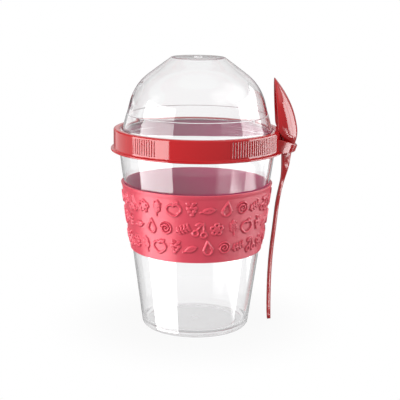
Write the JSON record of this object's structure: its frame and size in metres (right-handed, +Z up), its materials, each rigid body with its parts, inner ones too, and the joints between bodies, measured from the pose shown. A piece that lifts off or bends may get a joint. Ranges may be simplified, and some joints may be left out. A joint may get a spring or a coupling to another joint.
{
  "type": "yogurt cup",
  "caption": "Clear tapered to-go yogurt cup with a soft sleeve, a ribbed red screw ring, a clear dome lid and a red spoon held in a loop on the ring.",
  "frame": {"origin": "on the cup's axis, at the flat foot it stands on", "axes": "+Z up along the cup's axis, +X towards the spoon's loop"},
  "size_m": [0.1126, 0.1042, 0.1654],
  "materials": {
    "clear_cup": "clear, polished",
    "clear_dome": "clear, polished",
    "sleeve_silicone": "soft satin, raised pattern",
    "red_ring": "glossy",
    "red_spoon": "glossy"
  },
  "bodies": {
    "root": {"cup": "clear_cup", "sleeve": "sleeve_silicone", "ring": "red_ring", "dome": "clear_dome", "spoon": "red_spoon"}
  },
  "joints": []
}
